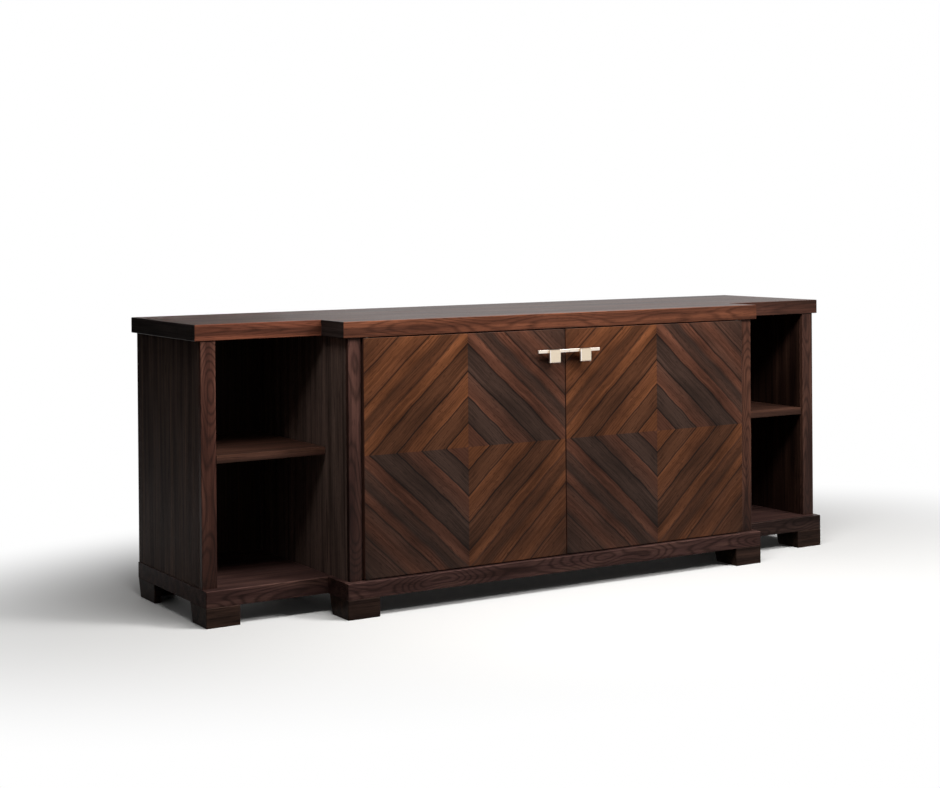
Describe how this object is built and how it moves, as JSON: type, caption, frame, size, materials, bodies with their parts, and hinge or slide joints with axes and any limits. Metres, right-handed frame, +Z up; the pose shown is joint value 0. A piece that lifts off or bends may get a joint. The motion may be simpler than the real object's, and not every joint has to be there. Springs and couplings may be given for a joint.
{
  "type": "office credenza",
  "caption": "Breakfront office credenza: hinged veneered doors in the middle, open shelf bays at the ends, thick top and plinth panel on block and bracket feet.",
  "frame": {"origin": "on the floor, at the middle of the footprint including the pulls", "axes": "+X along the length to the right seen from the front, +Y from the front to the rear, +Z up"},
  "size_m": [2.078, 0.6004, 0.762],
  "materials": {
    "dark_walnut": "dark walnut veneer under satin lacquer",
    "edge_walnut": "solid dark walnut under satin lacquer",
    "door_veneer": "quarter-matched walnut veneer under satin lacquer",
    "inner_walnut": "dark stained walnut veneer, matt lacquer",
    "back_board": "dark stained plywood, matt lacquer",
    "satin_nickel": "satin nickel plate on a cast pull",
    "hardware_steel": "zinc plated steel",
    "catch_plastic": "moulded brown plastic"
  },
  "bodies": {
    "carcass": {"base_centre_lipping": "edge_walnut", "base_left_wing_lipping": "edge_walnut", "base_panel": "dark_walnut", "base_right_wing_lipping": "edge_walnut", "centre_back": "back_board", "centre_divider": "inner_walnut", "left_catch": "catch_plastic", "left_centre_front_foot": "edge_walnut", "left_centre_rear_foot": "edge_walnut", "left_centre_shelf": "inner_walnut", "left_centre_shelf_inner_wire": "hardware_steel", "left_centre_shelf_outer_wire": "hardware_steel", "left_door_stile": "edge_walnut", "left_end_front_foot": "edge_walnut", "left_end_panel": "dark_walnut", "left_end_rear_foot": "edge_walnut", "left_end_stile": "edge_walnut", "left_lower_hinge_frame_leaf": "hardware_steel", "left_partition": "dark_walnut", "left_upper_hinge_frame_leaf": "hardware_steel", "left_wing_back": "back_board", "left_wing_shelf": "inner_walnut", "left_wing_shelf_inner_wire": "hardware_steel", "left_wing_shelf_outer_wire": "hardware_steel", "right_catch": "catch_plastic", "right_centre_front_foot": "edge_walnut", "right_centre_rear_foot": "edge_walnut", "right_centre_shelf": "inner_walnut", "right_centre_shelf_inner_wire": "hardware_steel", "right_centre_shelf_outer_wire": "hardware_steel", "right_door_stile": "edge_walnut", "right_end_front_foot": "edge_walnut", "right_end_panel": "dark_walnut", "right_end_rear_foot": "edge_walnut", "right_end_stile": "edge_walnut", "right_lower_hinge_frame_leaf": "hardware_steel", "right_partition": "dark_walnut", "right_upper_hinge_frame_leaf": "hardware_steel", "right_wing_back": "back_board", "right_wing_shelf": "inner_walnut", "right_wing_shelf_inner_wire": "hardware_steel", "right_wing_shelf_outer_wire": "hardware_steel", "top_centre_lipping": "edge_walnut", "top_left_end_lipping": "edge_walnut", "top_left_return_lipping": "edge_walnut", "top_left_wing_lipping": "edge_walnut", "top_panel": "dark_walnut", "top_right_end_lipping": "edge_walnut", "top_right_return_lipping": "edge_walnut", "top_right_wing_lipping": "edge_walnut"},
    "left_door": {"left_door_panel": "door_veneer", "left_lower_hinge_door_leaf": "hardware_steel", "left_pull": "satin_nickel", "left_strike_plate": "hardware_steel", "left_upper_hinge_door_leaf": "hardware_steel"},
    "right_door": {"right_door_panel": "door_veneer", "right_lower_hinge_door_leaf": "hardware_steel", "right_pull": "satin_nickel", "right_strike_plate": "hardware_steel", "right_upper_hinge_door_leaf": "hardware_steel"}
  },
  "joints": [
    {"name": "left_door_hinge", "type": "hinge", "parent": "carcass", "child": "left_door", "pos_m": [-0.615, -0.26275, 0.407], "axis": [0, 0, -1], "range_deg": [0, 110]},
    {"name": "right_door_hinge", "type": "hinge", "parent": "carcass", "child": "right_door", "pos_m": [0.615, -0.26275, 0.407], "axis": [0, 0, 1], "range_deg": [0, 110]}
  ]
}
